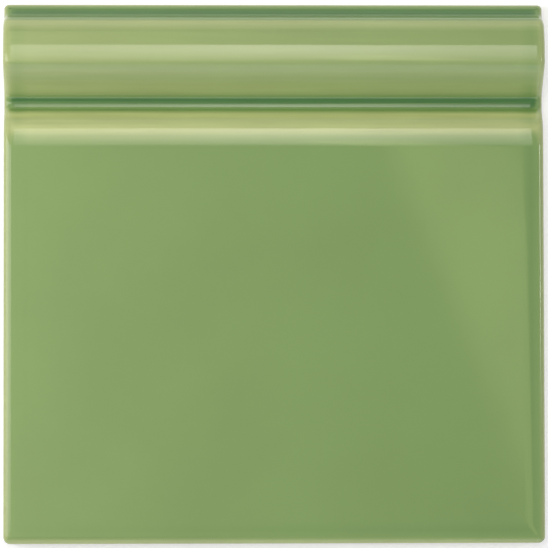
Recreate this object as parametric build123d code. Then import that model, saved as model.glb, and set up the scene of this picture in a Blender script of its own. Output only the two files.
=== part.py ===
from build123d import *

import math
import os

# A skirting tile: one pressed and fired piece of glazed ceramic for the foot of a wall.
# It lies face up on its back. +X runs along the wall, +Y is up the wall, towards the
# moulded rail, and +Z comes out of the face. The origin is the middle of the back.
# Lengths are in millimetres and slopes are in degrees from the plane of the back.

# Outline
TILE_WIDTH = 152.0
TILE_HEIGHT = 152.0
TOP_CORNER_RADIUS = 1.8
FOOT_CORNER_RADIUS = 2.0

# Thickness of the body, from the back to the face
TOP_EDGE_THICKNESS = 5.2
RAIL_THICKNESS = 15.0
GROOVE_THICKNESS = 4.7
PANEL_THICKNESS = 9.0

# Ledge along the top edge, and the cove that sweeps up from it into the rail
LEDGE_LENGTH = 1.5
LEDGE_SLOPE = 20.0
COVE_RADIUS = 3.6

# Rail: a steep top, a broad face that rises to a nose, and a slope down to the groove
RAIL_TOP_SLOPE = 71.0
RAIL_TOP_RADIUS = 6.5
RAIL_FACE_SLOPE = 16.0
RAIL_FACE_RADIUS = 30.0
RAIL_NOSE_SLOPE = 36.0
RAIL_NOSE_RADIUS = 2.6
RAIL_FOOT_SLOPE = 51.5
RAIL_FOOT_RADIUS = 10.0

# Groove: a cove under the rail, a floor that tips up to a corner, and a lip
GROOVE_COVE_RADIUS = 2.8
GROOVE_FLOOR_SLOPE = 9.0
GROOVE_FLOOR_RADIUS = 7.0
GROOVE_CORNER_RADIUS = 1.2
LIP_SLOPE = 55.0
LIP_LENGTH = 0.5
LIP_RADIUS = 2.0

# Shoulder that rolls from the lip into the flat panel
SHOULDER_SLOPE = 36.0
SHOULDER_RADIUS = 8.2
ROLL_SLOPE = 9.5
ROLL_RADIUS = 32.0

# Rounded edge all round the face, and the small bevel round the back
RIM_RADIUS = 1.6
BACK_BEVEL = 0.6

# Key for the adhesive: shallow channels along the back, with drafted walls
KEY_COUNT = 10
KEY_MARGIN = 8.0
KEY_WIDTH = 8.0
KEY_DEPTH = 0.8
KEY_DRAFT = 20.0

LEVEL = 0.0
DOWN_THE_TILE = 180.0
HAIR = 1e-4


def arc_rise(radius, steep, shallow):
    """Height climbed along an arc whose slope eases from steep to shallow."""
    return radius * (math.cos(math.radians(shallow)) - math.cos(math.radians(steep)))


def slope_rise(length, slope):
    """Height climbed along a straight slope."""
    return length * math.sin(math.radians(slope))


def slope_length(rise, slope):
    """Length of a straight slope that climbs by that rise."""
    return rise / math.sin(math.radians(slope))


def run_straight(outline, length):
    """Adds a straight run to the outline, the way it is heading."""
    last = outline[-1]
    outline.append(Line(last @ 1, last @ 1 + (last % 1) * length))


def run_round(outline, radius, turn):
    """Adds a tangent arc: a positive turn rolls the face over, a negative one hollows it."""
    last = outline[-1]
    outline.append(JernArc(last @ 1, last % 1, radius, turn))


def rail_top_length():
    """Straight part of the slope between the cove and the rail's face."""
    shaped = (
        slope_rise(LEDGE_LENGTH, LEDGE_SLOPE)
        + arc_rise(COVE_RADIUS, RAIL_TOP_SLOPE, LEDGE_SLOPE)
        + arc_rise(RAIL_TOP_RADIUS, RAIL_TOP_SLOPE, RAIL_FACE_SLOPE)
        + arc_rise(RAIL_FACE_RADIUS, RAIL_FACE_SLOPE, LEVEL)
    )
    return slope_length(RAIL_THICKNESS - TOP_EDGE_THICKNESS - shaped, RAIL_TOP_SLOPE)


def rail_foot_length():
    """Straight part of the slope between the rail's nose and the groove."""
    shaped = (
        arc_rise(RAIL_NOSE_RADIUS, RAIL_NOSE_SLOPE, LEVEL)
        + arc_rise(RAIL_FOOT_RADIUS, RAIL_FOOT_SLOPE, RAIL_NOSE_SLOPE)
        + arc_rise(GROOVE_COVE_RADIUS, RAIL_FOOT_SLOPE, LEVEL)
    )
    return slope_length(RAIL_THICKNESS - GROOVE_THICKNESS - shaped, RAIL_FOOT_SLOPE)


def shoulder_length():
    """Straight part of the slope between the groove's lip and the panel's shoulder."""
    shaped = (
        arc_rise(GROOVE_FLOOR_RADIUS, GROOVE_FLOOR_SLOPE, LEVEL)
        + arc_rise(GROOVE_CORNER_RADIUS, LIP_SLOPE, GROOVE_FLOOR_SLOPE)
        + slope_rise(LIP_LENGTH, LIP_SLOPE)
        + arc_rise(LIP_RADIUS, LIP_SLOPE, SHOULDER_SLOPE)
        + arc_rise(SHOULDER_RADIUS, SHOULDER_SLOPE, ROLL_SLOPE)
        + arc_rise(ROLL_RADIUS, ROLL_SLOPE, LEVEL)
    )
    return slope_length(PANEL_THICKNESS - GROOVE_THICKNESS - shaped, SHOULDER_SLOPE)


def run_rail(outline):
    """Adds the ledge, the cove and the rail to an outline that has reached the top edge."""
    outline.append(PolarLine(outline[-1] @ 1, LEDGE_LENGTH, DOWN_THE_TILE - LEDGE_SLOPE))
    run_round(outline, COVE_RADIUS, LEDGE_SLOPE - RAIL_TOP_SLOPE)
    run_straight(outline, rail_top_length())
    run_round(outline, RAIL_TOP_RADIUS, RAIL_TOP_SLOPE - RAIL_FACE_SLOPE)
    run_round(outline, RAIL_FACE_RADIUS, RAIL_FACE_SLOPE)
    run_round(outline, RAIL_NOSE_RADIUS, RAIL_NOSE_SLOPE)
    run_round(outline, RAIL_FOOT_RADIUS, RAIL_FOOT_SLOPE - RAIL_NOSE_SLOPE)
    run_straight(outline, rail_foot_length())


def run_groove(outline):
    """Adds the groove and the shoulder, down to the flat panel."""
    run_round(outline, GROOVE_COVE_RADIUS, -RAIL_FOOT_SLOPE)
    run_round(outline, GROOVE_FLOOR_RADIUS, -GROOVE_FLOOR_SLOPE)
    run_round(outline, GROOVE_CORNER_RADIUS, GROOVE_FLOOR_SLOPE - LIP_SLOPE)
    run_straight(outline, LIP_LENGTH)
    run_round(outline, LIP_RADIUS, LIP_SLOPE - SHOULDER_SLOPE)
    run_straight(outline, shoulder_length())
    run_round(outline, SHOULDER_RADIUS, SHOULDER_SLOPE - ROLL_SLOPE)
    run_round(outline, ROLL_RADIUS, ROLL_SLOPE)


def section():
    """Section across the tile, drawn from the top edge down, with Y along and Z up."""
    top = TILE_HEIGHT / 2
    foot = -TILE_HEIGHT / 2
    outline = [Line((top, 0), (top, TOP_EDGE_THICKNESS))]
    run_rail(outline)
    run_groove(outline)
    outline.append(Polyline(outline[-1] @ 1, (foot, PANEL_THICKNESS), (foot, 0), (top, 0)))
    return make_face(outline)


def corner_edges(body, side):
    """The two upright corners of the outline on one side: 1 is the top, -1 the foot."""
    return body.edges().filter_by(Axis.Z).filter_by(lambda edge: edge.center().Y * side > 0)


def rim_edges(body):
    """Edges where the face meets the walls of the tile and the corners between them."""
    walls = body.faces().filter_by(lambda wall: abs(wall.normal_at().Z) < HAIR)
    raised = walls.edges().filter_by(lambda edge: edge.bounding_box().min.Z > HAIR)
    return raised.filter_by(Axis.Z, reverse=True)


def key_channels():
    """The channels to press into the back, as one set of solids."""
    pitch = (TILE_HEIGHT - 2 * KEY_MARGIN - KEY_WIDTH) / (KEY_COUNT - 1)
    slot = SlotOverall(TILE_WIDTH - 2 * KEY_MARGIN, KEY_WIDTH)
    channel = extrude(slot, amount=KEY_DEPTH, taper=KEY_DRAFT)
    return [place * channel for place in GridLocations(0, pitch, 1, KEY_COUNT)]


def skirting_tile():
    """The whole tile: the section drawn out along the wall, rounded off and keyed."""
    body = extrude(Plane.YZ * section(), amount=TILE_WIDTH / 2, both=True)
    body = fillet(corner_edges(body, 1), TOP_CORNER_RADIUS)
    body = fillet(corner_edges(body, -1), FOOT_CORNER_RADIUS)
    body = fillet(rim_edges(body), RIM_RADIUS)
    body = chamfer(body.faces().sort_by(Axis.Z)[0].edges(), BACK_BEVEL)
    return body - key_channels()


os.makedirs("parts", exist_ok=True)
export_step(skirting_tile(), "parts/skirting_tile.step")
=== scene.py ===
"""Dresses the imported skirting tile: a glossy green glaze over a cream earthenware body.

The tile lies face up on its back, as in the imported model. +X runs along the rail, +Y is
towards the rail and +Z comes out of the face. Lengths are in metres and slopes in degrees.
"""

import logging
import math
from collections.abc import Callable, Iterable
from dataclasses import dataclass, field
from enum import Enum

import bmesh
import bpy
from bmesh.types import BMEdge, BMesh, BMFace, BMVert
from mathutils import Matrix, Vector, noise


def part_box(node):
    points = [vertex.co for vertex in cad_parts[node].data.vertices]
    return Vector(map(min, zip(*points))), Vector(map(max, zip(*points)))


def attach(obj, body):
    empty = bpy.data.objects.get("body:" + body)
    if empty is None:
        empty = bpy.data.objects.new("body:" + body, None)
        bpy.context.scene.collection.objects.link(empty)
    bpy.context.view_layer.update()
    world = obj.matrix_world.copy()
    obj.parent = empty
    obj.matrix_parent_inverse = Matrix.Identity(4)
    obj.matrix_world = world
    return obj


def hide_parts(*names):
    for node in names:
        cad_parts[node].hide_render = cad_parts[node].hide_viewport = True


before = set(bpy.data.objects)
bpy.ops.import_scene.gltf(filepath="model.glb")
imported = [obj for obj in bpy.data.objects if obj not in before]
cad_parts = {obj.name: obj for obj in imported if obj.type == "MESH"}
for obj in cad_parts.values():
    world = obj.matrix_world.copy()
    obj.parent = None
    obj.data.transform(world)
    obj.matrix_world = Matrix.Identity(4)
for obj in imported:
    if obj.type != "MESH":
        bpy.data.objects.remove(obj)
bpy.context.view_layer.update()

Socket = bpy.types.NodeSocket
Triple = tuple[float, float, float]
Range = tuple[float, float]
Fade = tuple[tuple[float, float], ...]

MM = 0.001
HAIR = 0.001 * MM
NODE = "skirting_tile"
BODY = "root"
LOG = logging.getLogger(NODE)

ALONG_RAIL = Vector((1.0, 0.0, 0.0))
UP_TILE = Vector((0.0, 1.0, 0.0))

# The mesh attribute that holds how deep the glaze lies, and the depths it has in a full
# hollow, on the flat and on an edge where the glaze has broken. It also carries painted
# light and shade: thinner, lighter glaze paints part of the highlights on the rail, the
# shoulder and the rim, and deeper, darker glaze paints part of the shade in the cove and the groove.
GLAZE_DEPTH_AND_LIGHT = "glaze_depth_and_light"
POOLED = 1.0
PLAIN = 0.0
BROKEN = -1.0

RISING: Range = (0.0, 1.0)
FALLING: Range = (1.0, 0.0)
EVEN: Fade = ((0.0, 1.0), (1.0, 1.0))
OPAQUE = 1.0


class Measure(Enum):
    """How the size of a rounded edge is measured."""

    REACH = "OFFSET"
    WIDTH = "WIDTH"


class Sum(Enum):
    """How one number is worked out from two others."""

    PLUS = "ADD"
    MINUS = "SUBTRACT"
    TIMES = "MULTIPLY"
    LARGER = "MAXIMUM"


@dataclass(frozen=True)
class Bend:
    """A round stretch of the section, and how deep the glaze lies where it ends, which also carries
    painted light and shade.
    """

    radius: float
    slope: float
    glaze: float

    def rise(self, slope: float) -> float:
        """Height climbed along the bend from a slope."""
        over = math.cos(math.radians(self.slope)) - math.cos(math.radians(slope))
        return math.copysign(self.radius, slope - self.slope) * over


@dataclass(frozen=True)
class Straight:
    """A straight stretch of the section, and how deep the glaze lies where it ends, which also carries
    painted light and shade.
    """

    length: float
    glaze: float


@dataclass(frozen=True)
class Moulding:
    """The section across the tile, stretch by stretch from the top edge down to the foot.

    The last three are straight runs whose lengths follow from the heights of the body. Each
    lists how deep the glaze lies at the end of equal parts of its run. These depths also paint
    light: thin, lighter glaze on the rail, the shoulder and the roll partly paints their
    highlights and the light on them, and deep, darker glaze in the cove and the groove partly
    paints their shade.
    """

    top_edge: float = 5.2 * MM
    groove: float = 4.7 * MM
    panel: float = 9.0 * MM
    ledge_slope: float = 20.0
    # Deep, darker glaze on the ledge and in the cove: real pooling, and partly painted shade in the
    # hollow.
    ledge: Straight = Straight(1.5 * MM, 0.5)
    cove_pool: Bend = Bend(3.6 * MM, 45.0, 0.62)
    cove: Bend = Bend(3.6 * MM, 71.0, 0.05)
    # Thin, lighter glaze on the rail: a painted highlight on its brow, and partly painted light on its
    # top, crest and lower slope.
    rail_rise: Bend = Bend(6.5 * MM, 60.0, -0.14)
    rail_brow: Bend = Bend(6.5 * MM, 47.0, -0.77)
    rail_top: Bend = Bend(6.5 * MM, 16.0, -0.39)
    rail_face: Bend = Bend(31.5 * MM, 9.3, -0.42)
    rail_sheen: Bend = Bend(26.7 * MM, 0.9, -0.455)
    rail_crest: Bend = Bend(50.0 * MM, 0.0, -0.46)
    rail_nose: Bend = Bend(2.6 * MM, -36.0, -0.4)
    rail_foot: Bend = Bend(10.0 * MM, -51.5, -0.54)
    # Deep, darker glaze in the groove: real pooling, and partly painted shade in the recess.
    groove_wall: Bend = Bend(2.8 * MM, -22.0, 0.95)
    groove_cove: Bend = Bend(2.8 * MM, 0.0, 0.85)
    groove_floor: Bend = Bend(7.0 * MM, 9.0, 0.5)
    groove_corner: Bend = Bend(1.2 * MM, 55.0, -0.1)
    # Thin, lighter glaze on the lip, the shoulder and the roll: partly a painted highlight.
    lip: Straight = Straight(0.5 * MM, -0.22)
    lip_edge: Bend = Bend(2.0 * MM, 36.0, -0.45)
    shoulder_brow: Bend = Bend(8.2 * MM, 29.0, -0.68)
    shoulder: Bend = Bend(8.2 * MM, 9.5, -0.97)
    roll: Bend = Bend(34.7 * MM, 6.0, -0.4)
    panel_roll: Bend = Bend(34.7 * MM, 1.2, -0.06)
    panel_edge: Bend = Bend(13.4 * MM, 0.0, 0.0)
    # Thin, lighter glaze on the rail's lower slope and the shoulder's run partly paints the light and the
    # highlight on them.
    rail_flank: tuple[float, ...] = (-0.1,)
    rail_slope: tuple[float, ...] = (-0.46, -0.5, -0.53, -0.54, -0.4)
    shoulder_slope: tuple[float, ...] = (-0.9, -1.0)


@dataclass(frozen=True)
class Edges:
    """Roundings of the outline, the rim of the face and the back."""

    top_corner: float = 1.35 * MM
    foot_corner: float = 2.0 * MM
    rim: float = 1.6 * MM
    back_bevel: float = 0.6 * MM
    corner_steps: int = 8
    rim_steps: int = 10
    back_steps: int = 1


@dataclass(frozen=True)
class Keying:
    """Shallow channels that key the back into its adhesive."""

    count: int = 10
    margin: float = 8.0 * MM
    width: float = 8.0 * MM
    depth: float = 0.8 * MM
    draft: float = 20.0
    end_radius: float = 3.0 * MM
    end_steps: int = 6


@dataclass(frozen=True)
class Melt:
    """How the glaze settled on the face in the kiln.

    It rolls off towards the rim and is thin on it, which partly paints a highlight along the rim,
    stands in a low bead just inside it, swells a little all over, and is drawn deeper and darker
    towards the right end as painted shade.
    """

    roll_reach: float = 5.0 * MM
    roll_depth: float = 0.28 * MM
    roll_on_rail: float = 0.5
    swell_size: float = 45.0 * MM
    swell_height: float = 0.02 * MM
    # The rim's thin, lighter glaze is real breaking over the edge and partly a painted highlight along
    # the rim.
    rim_thinning_and_highlight: float = 0.82
    rim_reach: float = 2.6 * MM
    top_reach: float = 1.5 * MM
    bead_place: float = 3.8 * MM
    bead_reach: float = 3.2 * MM
    bead_depth: float = 0.2
    # Painted shade: the glaze is drawn deeper and darker towards the right end and lighter towards the
    # left.
    right_end_shade: float = 0.07


@dataclass(frozen=True)
class Glaze:
    """The green glaze, how it breaks over edges and pools in hollows, and where it stops.

    A scale is the number of a pattern's cells in a metre, and a detail its finer layers.
    """

    colour: Triple = (0.213, 0.346, 0.1125)
    # The thin and deep colours are real glaze tones that also carry painted light: the thin one paints
    # highlights on the rail, the shoulder and the rim, the deep one paints shade in the cove and the
    # groove.
    thin: Triple = (0.5, 0.563, 0.25)
    deep: Triple = (0.052, 0.178, 0.038)
    roughness: float = 0.06
    refraction: float = 1.5
    line_height: float = 2.2 * MM
    line_wander: float = 1.6 * MM
    line_blur: float = 0.25 * MM
    line_scale: float = 90.0
    line_detail: float = 3.0
    cloud_scale: float = 28.0
    cloud_detail: float = 4.0
    cloud_depth: float = 0.035
    streak_scale: Triple = (45.0, 650.0, 650.0)
    streak_detail: float = 3.0
    streak_depth: float = 0.05
    peel_scale: float = 160.0
    peel_detail: float = 2.0
    peel_height: float = 0.004 * MM


@dataclass(frozen=True)
class Biscuit:
    """The bare fired body that shows on the back and the foot of the walls."""

    colour: Triple = (0.70, 0.62, 0.48)
    fleck: Triple = (0.52, 0.42, 0.29)
    roughness: float = 0.9
    grain_scale: float = 1400.0
    grain_detail: float = 4.0
    grain_height: float = 0.05 * MM
    fleck_scale: float = 420.0
    fleck_detail: float = 5.0
    fleck_range: Range = (0.55, 0.75)
    fleck_depth: float = 0.6


class Bench:
    """Lays out shader nodes and joins them."""

    NOISE_RANGE: Range = (0.25, 0.75)
    RAMP_END = 1.0

    def __init__(self, tree: bpy.types.NodeTree) -> None:
        """Clears a node tree to work in."""
        self.tree = tree
        tree.nodes.clear()

    def add(self, kind: str, inputs: dict | None = None, **settings: object) -> bpy.types.Node:
        """Adds a node.

        Args:
            kind: The node's type.
            inputs: Socket name or number to a value, or to a socket to join it from.
            **settings: The node's own properties.

        Returns:
            The node.
        """
        node = self.tree.nodes.new(kind)
        for name, value in settings.items():
            setattr(node, name, value)
        for name, value in (inputs or {}).items():
            self.feed(node.inputs[name], value)
        return node

    def feed(self, socket: Socket, value: object) -> None:
        """Gives a socket its value.

        Args:
            socket: The socket to feed.
            value: A value to set, or another socket to join it from.
        """
        if isinstance(value, Socket):
            self.tree.links.new(value, socket)
        else:
            socket.default_value = value

    def mix(self, share: Socket, first: Socket | Triple, second: Socket | Triple) -> Socket:
        """Mixes two colours.

        Args:
            share: How much of the second colour there is.
            first: The first colour, or the socket that gives it.
            second: The second colour, or the socket that gives it.

        Returns:
            The socket of the mixed colour.
        """
        node = self.add("ShaderNodeMix", data_type="RGBA")
        for name, value in (("Factor_Float", share), ("A_Color", first), ("B_Color", second)):
            socket = next(socket for socket in node.inputs if socket.identifier == name)
            self.feed(socket, value if isinstance(value, Socket) else (*value, OPAQUE))
        return next(socket for socket in node.outputs if socket.identifier == "Result_Color")

    def reckon(self, operation: Sum, *values: Socket | float) -> Socket:
        """Works out one number from others, and returns its socket."""
        inputs = dict(enumerate(values))
        return self.add("ShaderNodeMath", inputs=inputs, operation=operation.value).outputs[0]

    def spread(self, value: Socket, old: Range, new: Range) -> Socket:
        """Maps one range smoothly to another.

        Args:
            value: The number to map.
            old: The ends of the range it lies in.
            new: The ends of the range it is mapped to.

        Returns:
            The socket of the mapped number.
        """
        inputs = {
            "Value": value, "From Min": old[0], "From Max": old[1], "To Min": new[0], "To Max": new[1],
        }
        node = self.add("ShaderNodeMapRange", inputs=inputs, interpolation_type="SMOOTHSTEP")
        return node.outputs["Result"]

    def ramp(self, value: Socket, stops: Fade) -> Socket:
        """Follows a line through some stops.

        Args:
            value: Where along the line, from 0 to 1.
            stops: Each stop's place and level, in order.

        Returns:
            The socket of the level.
        """
        node = self.add("ShaderNodeValToRGB", inputs={"Fac": value})
        elements = node.color_ramp.elements
        while len(elements) < len(stops):
            elements.new(self.RAMP_END)
        for element, (place, level) in zip(elements, stops):
            element.position = place
            element.color = (level, level, level, OPAQUE)
        return node.outputs["Color"]

    def noise(self, place: Socket, scale: float, detail: float) -> Socket:
        """Adds a noise pattern.

        Args:
            place: The socket of the place on the piece.
            scale: How many of its cells there are in a unit of the place.
            detail: How many finer layers it has.

        Returns:
            The socket of the pattern's value.
        """
        inputs = {"Vector": place, "Scale": scale, "Detail": detail}
        return self.add("ShaderNodeTexNoise", inputs=inputs).outputs[0]


@dataclass(frozen=True)
class GlazedEarthenware:
    """The tile's finish: glaze that stops short of the back, over a biscuit body."""

    glaze: Glaze = field(default_factory=Glaze)
    biscuit: Biscuit = field(default_factory=Biscuit)

    UNSCALED = 1.0
    METRE = 1.0

    def make(self) -> bpy.types.Material:
        """Makes the material.

        Returns:
            One material for the whole tile.
        """
        material = bpy.data.materials.new("glazed_earthenware")
        material.use_nodes = True
        bench = Bench(material.node_tree)
        place = bench.add("ShaderNodeTexCoord").outputs["Object"]
        bare = self._bare(bench, place)
        colour = bench.mix(bare, self._glaze_colour_with_painted_light(bench, place), self._biscuit_colour(bench, place))
        roughness = bench.spread(bare, RISING, (self.glaze.roughness, self.biscuit.roughness))
        inputs = {
            "Base Color": colour,
            "Roughness": roughness,
            "IOR": self.glaze.refraction,
            "Normal": self._relief(bench, place, bare),
        }
        shader = bench.add("ShaderNodeBsdfPrincipled", inputs=inputs)
        bench.add("ShaderNodeOutputMaterial", inputs={"Surface": shader.outputs["BSDF"]})
        return material

    def _bare(self, bench: Bench, place: Socket) -> Socket:
        """Finds where the glaze stops, along a line that wanders round the walls.

        Args:
            bench: Where the nodes are laid out.
            place: The socket of the place on the tile.

        Returns:
            The socket of a number that is 1 on the biscuit and 0 on the glaze.
        """
        glaze = self.glaze
        height = bench.add("ShaderNodeSeparateXYZ", inputs={"Vector": place}).outputs["Z"]
        wave = bench.noise(place, glaze.line_scale, glaze.line_detail)
        wander = bench.reckon(Sum.TIMES, wave, glaze.line_wander)
        level = bench.reckon(Sum.MINUS, bench.reckon(Sum.PLUS, height, wander), glaze.line_wander / 2)
        low = glaze.line_height - glaze.line_blur
        high = glaze.line_height + glaze.line_blur
        return bench.spread(level, (low, high), FALLING)

    def _glaze_colour_with_painted_light(self, bench: Bench, place: Socket) -> Socket:
        """Colours the glaze: lighter where it is thin, darker where it pools, and clouded. Its thin
        and deep colours also paint highlights on the rail, the shoulder and the rim, and shade in
        the cove, the groove and towards the right end.

        Args:
            bench: Where the nodes are laid out.
            place: The socket of the place on the tile.

        Returns:
            The socket of the colour.
        """
        glaze = self.glaze
        # Painted light and shade ride on the glaze depth: thin, lighter glaze paints highlights, deep,
        # darker glaze paints shade.
        glaze_and_light_level = bench.add("ShaderNodeAttribute", attribute_name=GLAZE_DEPTH_AND_LIGHT).outputs["Fac"]
        deep = bench.spread(glaze_and_light_level, (PLAIN, POOLED), RISING)
        thin = bench.spread(glaze_and_light_level, (BROKEN, PLAIN), FALLING)
        settled = bench.mix(thin, bench.mix(deep, glaze.colour, glaze.deep), glaze.thin)
        mottle = bench.noise(place, glaze.cloud_scale, glaze.cloud_detail)
        clouds = (1.0 - glaze.cloud_depth, 1.0 + glaze.cloud_depth)
        cloud = bench.spread(mottle, bench.NOISE_RANGE, clouds)
        scaled = {0: place, 1: glaze.streak_scale}
        drawn = bench.add("ShaderNodeVectorMath", inputs=scaled, operation=Sum.TIMES.value).outputs[0]
        brushed = bench.noise(drawn, self.UNSCALED, glaze.streak_detail)
        streak = bench.spread(brushed, bench.NOISE_RANGE, (-glaze.streak_depth, glaze.streak_depth))
        value = bench.reckon(Sum.PLUS, cloud, bench.reckon(Sum.TIMES, streak, thin))
        return bench.add("ShaderNodeHueSaturation", inputs={"Color": settled, "Value": value}).outputs[0]

    def _biscuit_colour(self, bench: Bench, place: Socket) -> Socket:
        """Colours the biscuit cream, with darker flecks.

        Args:
            bench: Where the nodes are laid out.
            place: The socket of the place on the tile.

        Returns:
            The socket of the colour.
        """
        biscuit = self.biscuit
        speckle = bench.noise(place, biscuit.fleck_scale, biscuit.fleck_detail)
        fleck = bench.spread(speckle, biscuit.fleck_range, (0.0, biscuit.fleck_depth))
        return bench.mix(fleck, biscuit.colour, biscuit.fleck)

    def _relief(self, bench: Bench, place: Socket, bare: Socket) -> Socket:
        """Gives the glaze a faint peel and the biscuit its grain.

        Args:
            bench: Where the nodes are laid out.
            place: The socket of the place on the tile.
            bare: The socket of where the glaze stops.

        Returns:
            The socket of the bumped normal.
        """
        glaze, biscuit = self.glaze, self.biscuit
        dimple = bench.noise(place, glaze.peel_scale, glaze.peel_detail)
        peel = bench.reckon(Sum.TIMES, dimple, glaze.peel_height)
        grit = bench.noise(place, biscuit.grain_scale, biscuit.grain_detail)
        grain = bench.reckon(Sum.TIMES, grit, biscuit.grain_height)
        either = {"Factor": bare, "A": peel, "B": grain}
        height = bench.add("ShaderNodeMix", inputs=either, data_type="FLOAT").outputs["Result"]
        return bench.add("ShaderNodeBump", inputs={"Height": height, "Distance": self.METRE}).outputs[0]


class SectionPen:
    """Draws the section as a chain of edges at one end of the tile, heading for the foot."""

    FACET = 0.4 * MM
    FACET_TURN = 4.0

    def __init__(self, mesh: BMesh, start: Vector, slope: float) -> None:
        """Puts the pen down.

        Args:
            mesh: The mesh to draw in.
            start: Where the chain starts.
            slope: The pen's first slope, positive where it climbs.
        """
        self.mesh = mesh
        self.slope = slope
        self.layer = mesh.verts.layers.float.new(GLAZE_DEPTH_AND_LIGHT)
        self.first: BMVert = mesh.verts.new(start)
        self.tip: BMVert = self.first

    @property
    def heading(self) -> Vector:
        """The way the pen is going."""
        angle = math.radians(self.slope)
        return Vector((0.0, -math.cos(angle), math.sin(angle)))

    @property
    def outward(self) -> Vector:
        """The way out of the clay, square to the heading."""
        angle = math.radians(self.slope)
        return Vector((0.0, math.sin(angle), math.cos(angle)))

    def corner(self, slope: float) -> None:
        """Turns the pen to a new slope at a sharp corner."""
        self.slope = slope

    def straight(self, length: float, glaze: float) -> None:
        """Draws a straight run.

        Args:
            length: How long it is.
            glaze: How deep the glaze lies at its end, with the painted light and shade it carries.
        """
        grown = bmesh.ops.extrude_vert_indiv(self.mesh, verts=[self.tip])
        self.tip = grown["verts"][0]
        self.tip[self.layer] = glaze
        bmesh.ops.translate(self.mesh, verts=[self.tip], vec=self.heading * length)

    def bend(self, bend: Bend) -> None:
        """Draws a tangent arc, which rolls over to a lower slope or hollows to a higher one.

        Args:
            bend: The bend, whose slope is the one it ends at.
        """
        turn = self.slope - bend.slope
        before = self.tip[self.layer]
        inward = -math.copysign(bend.radius, turn)
        arc = bend.radius * math.radians(abs(turn))
        steps = max(math.ceil(arc / self.FACET), math.ceil(abs(turn) / self.FACET_TURN))
        bmesh.ops.spin(
            self.mesh, geom=[self.tip], cent=self.tip.co + self.outward * inward,
            axis=ALONG_RAIL, angle=math.radians(turn), steps=steps, use_duplicate=False,
        )
        self.mesh.verts.ensure_lookup_table()
        for step, vert in enumerate(self.mesh.verts[-steps:], start=1):
            vert[self.layer] = before + (bend.glaze - before) * step / steps
        self.tip = self.mesh.verts[-1]
        self.slope = bend.slope

    def reach(self, level: float, glaze: tuple[float, ...], *bends: Bend) -> None:
        """Draws a straight run just long enough for the bends after it to end at a level.

        Args:
            level: The height where the last bend ends.
            glaze: How deep the glaze lies at the end of each equal part of the run, with the painted
                light and shade it carries.
            *bends: The bends that follow it.
        """
        slopes = [self.slope, *(bend.slope for bend in bends)]
        climb = sum(bend.rise(slope) for bend, slope in zip(bends, slopes))
        length = (level - climb - self.tip.co.z) / self.heading.z
        for depth in glaze:
            self.straight(length / len(glaze), depth)
        for bend in bends:
            self.bend(bend)

    def close(self) -> BMFace:
        """Joins the chain's ends and fills it."""
        bmesh.ops.contextual_create(self.mesh, geom=[self.tip, self.first])
        return bmesh.ops.contextual_create(self.mesh, geom=self.mesh.edges[:])["faces"][0]


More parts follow.
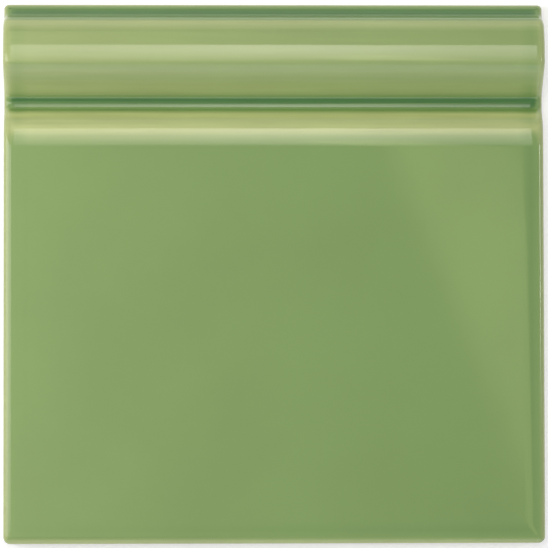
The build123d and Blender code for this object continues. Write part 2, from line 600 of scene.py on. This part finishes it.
@dataclass
class TileBody:
    """The whole tile: its section drawn out along the wall, rounded, keyed and glazed."""

    low: Vector
    high: Vector
    moulding: Moulding = field(default_factory=Moulding)
    edges: Edges = field(default_factory=Edges)
    keying: Keying = field(default_factory=Keying)
    melt: Melt = field(default_factory=Melt)
    finish: GlazedEarthenware = field(default_factory=GlazedEarthenware)
    face_step: float = 1.2 * MM

    # How much of a face's normal may point up or down before the face is no wall.
    FLAT = 0.02
    UPRIGHT = 90.0
    # A rounding's width for each unit of its radius, where two square faces meet.
    RIM_CHORD = math.sqrt(2.0)

    @property
    def width(self) -> float:
        """Length along the wall."""
        return self.high.x - self.low.x

    @property
    def height(self) -> float:
        """Length up the wall."""
        return self.high.y - self.low.y

    def build(self) -> bpy.types.Object:
        """Builds the tile's mesh.

        Returns:
            The tile as an object at the origin, with its glaze depth, which also carries painted light
            and shade, as an attribute.
        """
        clay = bmesh.new()
        section = self._draw_section(clay)
        self._draw_out(clay, section)
        self._round_corners(clay)
        self._round_rim(clay)
        self._press_keys(clay)
        self._divide_face(clay)
        self._settle(clay)
        self._shade(clay)
        data = bpy.data.meshes.new("glazed_tile")
        clay.to_mesh(data)
        clay.free()
        tile = bpy.data.objects.new("glazed_tile", data)
        bpy.context.scene.collection.objects.link(tile)
        return tile

    def dress(self, tile: bpy.types.Object) -> None:
        """Gives the tile its finish."""
        tile.data.materials.append(self.finish.make())

    def _draw_section(self, clay: BMesh) -> BMFace:
        """Draws the section at the left end.

        Args:
            clay: The mesh to draw in.

        Returns:
            The section as one face.
        """
        cut = self.moulding
        pen = SectionPen(clay, Vector((self.low.x, self.high.y, self.low.z)), self.UPRIGHT)
        pen.straight(cut.top_edge, PLAIN)
        pen.corner(cut.ledge_slope)
        pen.straight(cut.ledge.length, cut.ledge.glaze)
        pen.bend(cut.cove_pool)
        pen.bend(cut.cove)
        brow = (cut.rail_rise, cut.rail_brow, cut.rail_top)
        face = (cut.rail_face, cut.rail_sheen, cut.rail_crest)
        pen.reach(self.high.z, cut.rail_flank, *brow, *face)
        pen.bend(cut.rail_nose)
        pen.bend(cut.rail_foot)
        pen.reach(self.low.z + cut.groove, cut.rail_slope, cut.groove_wall, cut.groove_cove)
        pen.bend(cut.groove_floor)
        pen.bend(cut.groove_corner)
        pen.straight(cut.lip.length, cut.lip.glaze)
        pen.bend(cut.lip_edge)
        shoulder = (cut.shoulder_brow, cut.shoulder, cut.roll, cut.panel_roll, cut.panel_edge)
        pen.reach(self.low.z + cut.panel, cut.shoulder_slope, *shoulder)
        pen.straight(pen.tip.co.y - self.low.y, PLAIN)
        pen.corner(-self.UPRIGHT)
        pen.straight(pen.tip.co.z - self.low.z, PLAIN)
        return pen.close()

    def _draw_out(self, clay: BMesh, section: BMFace) -> None:
        """Draws the section out to the tile's full width.

        Args:
            clay: The mesh.
            section: The section, at the left end.
        """
        drawn = bmesh.ops.extrude_face_region(clay, geom=[section])["geom"]
        far_end = [part for part in drawn if isinstance(part, BMVert)]
        bmesh.ops.translate(clay, verts=far_end, vec=ALONG_RAIL * self.width)
        bmesh.ops.recalc_face_normals(clay, faces=clay.faces[:])

    @staticmethod
    def _is_upright(edge: BMEdge) -> bool:
        """Whether an edge runs straight up a corner of the outline."""
        along = edge.verts[1].co - edge.verts[0].co
        return abs(along.x) < HAIR and abs(along.y) < HAIR

    @staticmethod
    def _bevel(
        clay: BMesh, edges: Iterable[BMEdge], size: float, steps: int, measure: Measure = Measure.REACH
    ) -> None:
        """Rounds some edges.

        Args:
            clay: The mesh.
            edges: The edges to round.
            size: How far the rounding reaches, or how wide it is.
            steps: How many faces it has.
            measure: The way the size is measured.
        """
        bmesh.ops.bevel(
            clay, geom=list(edges), offset=size, offset_type=measure.value, affect="EDGES",
            segments=steps, profile=0.5, material=-1, loop_slide=True, clamp_overlap=False,
        )

    def _round_corners(self, clay: BMesh) -> None:
        """Rounds the four upright corners of the outline.

        Args:
            clay: The mesh, drawn out to its full width.
        """
        for side, radius in ((1, self.edges.top_corner), (-1, self.edges.foot_corner)):
            upright = [
                edge for edge in clay.edges
                if self._is_upright(edge) and edge.verts[0].co.y * side > 0
            ]
            self._bevel(clay, upright, radius, self.edges.corner_steps)

    def _round_rim(self, clay: BMesh) -> None:
        """Rounds the rim of the face and bevels the edge of the back.

        Args:
            clay: The mesh, with its corners rounded.
        """
        clay.normal_update()
        walls = {face for face in clay.faces if abs(face.normal.z) < self.FLAT}
        rim = [edge for edge in clay.edges if self._divides(edge, walls, self._is_front)]
        back = [edge for edge in clay.edges if self._divides(edge, walls, self._is_behind)]
        self._bevel(clay, rim, self.edges.rim * self.RIM_CHORD, self.edges.rim_steps, Measure.WIDTH)
        kept = [edge for edge in back if edge.is_valid]
        self._bevel(clay, kept, self.edges.back_bevel, self.edges.back_steps)

    def _is_front(self, face: BMFace) -> bool:
        """Whether a face is part of the rail, the panel or the rim."""
        return face.normal.z > self.FLAT

    def _is_behind(self, face: BMFace) -> bool:
        """Whether a face looks backwards."""
        return face.normal.z < -self.FLAT

    @staticmethod
    def _divides(edge: BMEdge, walls: set[BMFace], other: Callable[[BMFace], bool]) -> bool:
        """Whether an edge lies between a wall and a face of another kind."""
        faces = edge.link_faces
        return any(face in walls for face in faces) and any(other(face) for face in faces)

    @staticmethod
    def _slice(clay: BMesh, faces: Iterable[BMFace], at: Vector, across: Vector) -> None:
        """Cuts a line of edges across some faces, where a plane meets them.

        Args:
            clay: The mesh.
            faces: The faces to cut.
            at: A point in the plane.
            across: The way square to the plane.
        """
        cut = list(faces)
        edges = {edge for face in cut for edge in face.edges}
        verts = {vert for face in cut for vert in face.verts}
        bmesh.ops.bisect_plane(clay, geom=[*cut, *edges, *verts], plane_co=at, plane_no=across, dist=HAIR)

    def _key_centres(self) -> list[float]:
        """Works out where the key channels lie.

        Returns:
            The place up the tile of each channel's middle.
        """
        key = self.keying
        pitch = (self.height - 2 * key.margin - key.width) / (key.count - 1)
        first = self.low.y + key.margin + key.width / 2
        return [first + pitch * place for place in range(key.count)]

    def _press_keys(self, clay: BMesh) -> None:
        """Presses the key channels into the back.

        Args:
            clay: The mesh, with its rim rounded.
        """
        key = self.keying
        reach = self.width / 2 - key.margin
        centres = self._key_centres()
        for y in [centre + side * key.width / 2 for centre in centres for side in (-1, 1)]:
            self._slice(clay, self._back_faces(clay), UP_TILE * y, UP_TILE)
        for x in (-reach, reach):
            self._slice(clay, self._back_faces(clay), ALONG_RAIL * x, ALONG_RAIL)
        channels = [
            face for face in self._back_faces(clay)
            if abs(face.calc_center_median().x) < reach
            and any(abs(face.calc_center_median().y - y) < key.width / 2 for y in centres)
        ]
        spread = key.depth * math.tan(math.radians(key.draft))
        bmesh.ops.inset_individual(clay, faces=channels, thickness=spread, depth=-key.depth)
        corners = {
            edge for face in channels for vert in face.verts for edge in vert.link_edges
            if abs(edge.verts[0].co.z - edge.verts[1].co.z) > key.depth / 2
        }
        self._bevel(clay, corners, key.end_radius, key.end_steps)

    def _back_faces(self, clay: BMesh) -> list[BMFace]:
        """The faces that lie in the plane of the back."""
        behind = [face for face in clay.faces if face.normal.z < -1 + self.FLAT]
        return [face for face in behind if face.calc_center_median().z < HAIR]

    def _front_faces(self, clay: BMesh) -> list[BMFace]:
        """The faces of the rail, the panel and the rim."""
        return [face for face in clay.faces if self._is_front(face)]

    def _divide_face(self, clay: BMesh) -> None:
        """Divides the face finely both ways, so that it can swell and roll.

        Args:
            clay: The mesh, with its keys pressed.
        """
        columns = round(self.width / self.face_step)
        rows = round(self.height / self.face_step)
        clay.normal_update()
        for place in range(1, columns):
            x = self.low.x + self.width * place / columns
            self._slice(clay, self._front_faces(clay), ALONG_RAIL * x, ALONG_RAIL)
        for place in range(1, rows):
            y = self.low.y + self.height * place / rows
            self._slice(clay, self._front_faces(clay), UP_TILE * y, UP_TILE)

    def _settle(self, clay: BMesh) -> None:
        """Rolls the glaze off towards the rim, thins it there, partly as a painted rim highlight, darkens
        it towards the right end as painted shade and lets the face swell a little.

        Args:
            clay: The mesh, with its face finely divided.
        """
        melt = self.melt
        layer = clay.verts.layers.float[GLAZE_DEPTH_AND_LIGHT]
        raised = {vert for face in self._front_faces(clay) for vert in face.verts}
        top = self.low.z + self.moulding.panel + melt.swell_height
        for vert in raised:
            inside = min(self.high.x - abs(vert.co.x), self.high.y - abs(vert.co.y))
            share = melt.roll_on_rail if vert.co.z > top else 1.0
            roll = share * max(0.0, 1.0 - inside / melt.roll_reach) ** 2
            swell = noise.noise(Vector((vert.co.x, vert.co.y, 0.0)) / melt.swell_size)
            vert.co.z += (swell - 1.0) * melt.swell_height - roll * melt.roll_depth
            # Thin, lighter glaze near the rim and the top edge: real breaking, and partly a painted
            # highlight along the rim.
            sides = min(self.high.x - abs(vert.co.x), vert.co.y - self.low.y)
            above = self.high.y - vert.co.y
            edge = max(0.0, 1.0 - sides / melt.rim_reach, 1.0 - above / melt.top_reach)
            bead = max(0.0, 1.0 - abs(inside - melt.bead_place) / melt.bead_reach)
            depth = vert[layer] * (1.0 - edge) - melt.rim_thinning_and_highlight * edge
            # Painted shade: deeper, darker glaze towards the right end, lighter towards the left.
            right_end_shade = melt.right_end_shade * vert.co.x / self.high.x
            vert[layer] = depth + share * melt.bead_depth * bead + right_end_shade
        for vert in set(clay.verts) - raised:
            vert[layer] = -melt.rim_thinning_and_highlight

    def _shade(self, clay: BMesh) -> None:
        """Shades the glazed face smooth and leaves the walls and the back flat."""
        for face in clay.faces:
            face.smooth = self._is_front(face)


def aimed(place: Vector, target: Vector, roll: float) -> Matrix:
    """Works out where a lamp or camera stands.

    Args:
        place: Where it stands.
        target: What it looks at.
        roll: How far it is turned about its line of sight.

    Returns:
        Its matrix. Before the roll, its upright is along the tile's +Y.
    """
    back = (place - target).normalized()
    right = UP_TILE.cross(back).normalized()
    up = back.cross(right)
    turn = Matrix((right, up, back)).transposed()
    spin = Matrix.Rotation(math.radians(roll), 4, "Z")
    return Matrix.Translation(place) @ turn.to_4x4() @ spin


@dataclass(frozen=True)
class Softbox:
    """One rectangular studio lamp, which may fade across its width and its height.

    A fade is a line through stops, each a place from 0 to 1 and the light's level there.
    """

    name: str
    place: Triple
    target: Triple
    size: tuple[float, float]
    radiance: float
    colour: Triple = (1.0, 1.0, 1.0)
    turn: float = 0.0
    fade_wide: Fade = EVEN
    fade_high: Fade = EVEN

    def hang(self) -> bpy.types.Object:
        """Hangs the lamp.

        Returns:
            The lamp, hidden from the camera and seen in reflections.
        """
        data = bpy.data.lights.new(self.name, "AREA")
        data.shape = "RECTANGLE"
        data.size, data.size_y = self.size
        data.energy = self.radiance * math.pi * self.size[0] * self.size[1]
        data.color = self.colour
        self._shape(data)
        lamp = bpy.data.objects.new(self.name, data)
        lamp.matrix_world = aimed(Vector(self.place), Vector(self.target), self.turn)
        lamp.visible_camera = False
        bpy.context.scene.collection.objects.link(lamp)
        return lamp

    def _shape(self, data: bpy.types.Light) -> None:
        """Fades the lamp across its width and its height.

        Args:
            data: The lamp's light.
        """
        data.use_nodes = True
        bench = Bench(data.node_tree)
        spot = bench.add("ShaderNodeNewGeometry").outputs["Parametric"]
        place = bench.add("ShaderNodeSeparateXYZ", inputs={"Vector": spot}).outputs
        wide = bench.ramp(place["X"], self.fade_wide)
        high = bench.ramp(place["Y"], self.fade_high)
        level = bench.reckon(Sum.TIMES, wide, high)
        glow = bench.add("ShaderNodeEmission", inputs={"Strength": level})
        bench.add("ShaderNodeOutputLight", inputs={"Surface": glow.outputs[0]})


@dataclass(frozen=True)
class Studio:
    """A pale floor, soft lamps and the camera that looks down on the tile.

    A pixel is as wide as one of the picture's pixels at the camera's target. The sensor's
    width is in millimetres.
    """

    floor_size: float = 8.0
    floor_gap: float = 0.2 * MM
    floor_colour: Triple = (0.85, 0.865, 0.92)
    floor_lift: float = 0.36
    sky: float = 0.325
    backdrop: float = 1.0
    camera_place: Triple = (-32.4 * MM, -52.5 * MM, 1150.0 * MM)
    camera_target: Triple = (-0.12 * MM, -0.42 * MM, 9.0 * MM)
    camera_roll: float = -0.11
    picture_pixels: int = 548
    pixel: float = 0.2807 * MM
    sensor: float = 36.0
    softboxes: tuple[Softbox, ...] = (
        Softbox(
            "rail_softbox",
            place=(0.02, 0.317, 1.0),
            target=(0.02, 0.317, 0.0),
            size=(0.44, 0.33),
            radiance=5.5,
            colour=(1.0, 0.92, 0.83),
            fade_wide=((0.0, 0.55), (0.25, 0.62), (0.5, 1.0), (0.6, 0.95), (0.75, 0.73), (1.0, 0.7)),
            fade_high=((0.0, 0.12), (0.15, 0.42), (0.4, 0.68), (0.65, 0.88), (1.0, 0.88)),
        ),
        Softbox(
            "left_softbox",
            place=(-0.55, 0.05, 0.65),
            target=(0.0, 0.05, 0.375),
            size=(1.12, 0.29),
            radiance=3.6,
            colour=(1.03, 1.0, 0.96),
            fade_wide=((0.0, 1.0), (0.6, 1.0), (1.0, 0.8)),
            fade_high=((0.0, 0.7), (0.25, 0.9), (0.5, 1.0), (1.0, 1.0)),
        ),
        Softbox(
            "right_softbox",
            place=(0.9, 0.08, 0.88),
            target=(0.07, 0.08, 0.0),
            size=(0.26, 0.24),
            radiance=9.0,
            fade_high=((0.0, 0.0), (0.33, 0.75), (0.6, 0.95), (1.0, 1.0)),
        ),
        Softbox(
            "back_softbox",
            place=(0.05, 1.25, 0.5),
            target=(0.05, 0.0, 0.0),
            size=(1.6, 0.9),
            radiance=1.0,
            fade_high=((0.0, 0.25), (0.4, 0.35), (0.7, 0.5), (0.85, 0.9), (1.0, 1.0)),
        ),
        Softbox(
            "front_softbox",
            place=(0.0, -1.45, 0.55),
            target=(0.0, 0.0, 0.0),
            size=(2.4, 1.1),
            radiance=1.05,
            colour=(0.97, 1.0, 1.08),
            fade_high=((0.0, 0.65), (0.5, 0.75), (1.0, 1.0)),
        ),
        Softbox(
            "left_card",
            place=(-0.105, 0.36, 1.152),
            target=(-0.105, 0.36, 0.0),
            size=(0.47, 1.28),
            radiance=1.5,
            colour=(0.97, 1.0, 0.5),
            fade_wide=((0.0, 1.0), (0.45, 1.0), (0.585, 0.62), (0.716, 0.35), (1.0, 0.0)),
        ),
        Softbox(
            "right_card",
            place=(0.168, 0.037, 1.14),
            target=(0.168, 0.037, 0.0),
            size=(0.062, 0.5),
            radiance=1.15,
            colour=(1.0, 1.0, 0.4),
            turn=22.4,
        ),
    )

    def set_up(self) -> None:
        """Sets up the floor, the lamps, the sky and the camera."""
        self._lay_floor()
        self._light_sky()
        for softbox in self.softboxes:
            softbox.hang()
        self._place_camera()
        bpy.context.scene.view_settings.view_transform = "Standard"

    @staticmethod
    def _seen(bench: Bench) -> Socket:
        """Finds what the camera sees, straight, mirrored or through glass.

        Args:
            bench: Where the nodes are laid out.

        Returns:
            The socket of a number that is 1 there and 0 for other light.
        """
        path = bench.add("ShaderNodeLightPath").outputs
        mirrored = bench.reckon(Sum.LARGER, path["Is Glossy Ray"], path["Is Transmission Ray"])
        return bench.reckon(Sum.LARGER, path["Is Camera Ray"], mirrored)

    def _lay_floor(self) -> None:
        """Lays the pale floor just under the tile."""
        sheet = bmesh.new()
        bmesh.ops.create_grid(sheet, x_segments=1, y_segments=1, size=self.floor_size / 2)
        bmesh.ops.translate(sheet, verts=sheet.verts[:], vec=(0.0, 0.0, -self.floor_gap))
        data = bpy.data.meshes.new("floor")
        sheet.to_mesh(data)
        sheet.free()
        data.materials.append(self._floor_finish())
        floor = bpy.data.objects.new("floor", data)
        bpy.context.scene.collection.objects.link(floor)

    def _floor_finish(self) -> bpy.types.Material:
        """Makes the floor's matte finish, lifted towards white where the camera sees it.

        Returns:
            The floor's material.
        """
        material = bpy.data.materials.new("pale_floor")
        material.use_nodes = True
        bench = Bench(material.node_tree)
        lift = bench.reckon(Sum.TIMES, self._seen(bench), self.floor_lift)
        matte = bench.add("ShaderNodeBsdfDiffuse", inputs={"Color": (*self.floor_colour, OPAQUE)})
        glow = bench.add("ShaderNodeEmission", inputs={"Strength": lift})
        both = bench.add("ShaderNodeAddShader", inputs={0: matte.outputs[0], 1: glow.outputs[0]})
        bench.add("ShaderNodeOutputMaterial", inputs={"Surface": both.outputs[0]})
        return material

    def _light_sky(self) -> None:
        """Surrounds the tile with dim even light behind a white backdrop."""
        world = bpy.data.worlds.new("studio")
        world.use_nodes = True
        bpy.context.scene.world = world
        bench = Bench(world.node_tree)
        strength = bench.spread(self._seen(bench), RISING, (self.sky, self.backdrop))
        light = bench.add("ShaderNodeBackground", inputs={"Strength": strength})
        bench.add("ShaderNodeOutputWorld", inputs={"Surface": light.outputs[0]})

    def _place_camera(self) -> None:
        """Places the camera above the tile, a little to the left and towards its foot."""
        place, target = Vector(self.camera_place), Vector(self.camera_target)
        data = bpy.data.cameras.new("camera")
        data.sensor_width = self.sensor
        data.lens = self.sensor * (place - target).length / (self.pixel * self.picture_pixels)
        camera = bpy.data.objects.new("camera", data)
        camera.matrix_world = aimed(place, target, self.camera_roll)
        bpy.context.scene.collection.objects.link(camera)
        bpy.context.scene.camera = camera


def main() -> None:
    """Builds the tile and its studio, and logs the tile's face count."""
    logging.basicConfig(level=logging.INFO, format="%(name)s: %(message)s")
    body = TileBody(*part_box(NODE))
    tile = body.build()
    body.dress(tile)
    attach(tile, BODY)
    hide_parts(NODE)
    LOG.info("%s: %d faces", tile.name, len(tile.data.polygons))
    Studio().set_up()


if __name__ == "__main__":
    main()
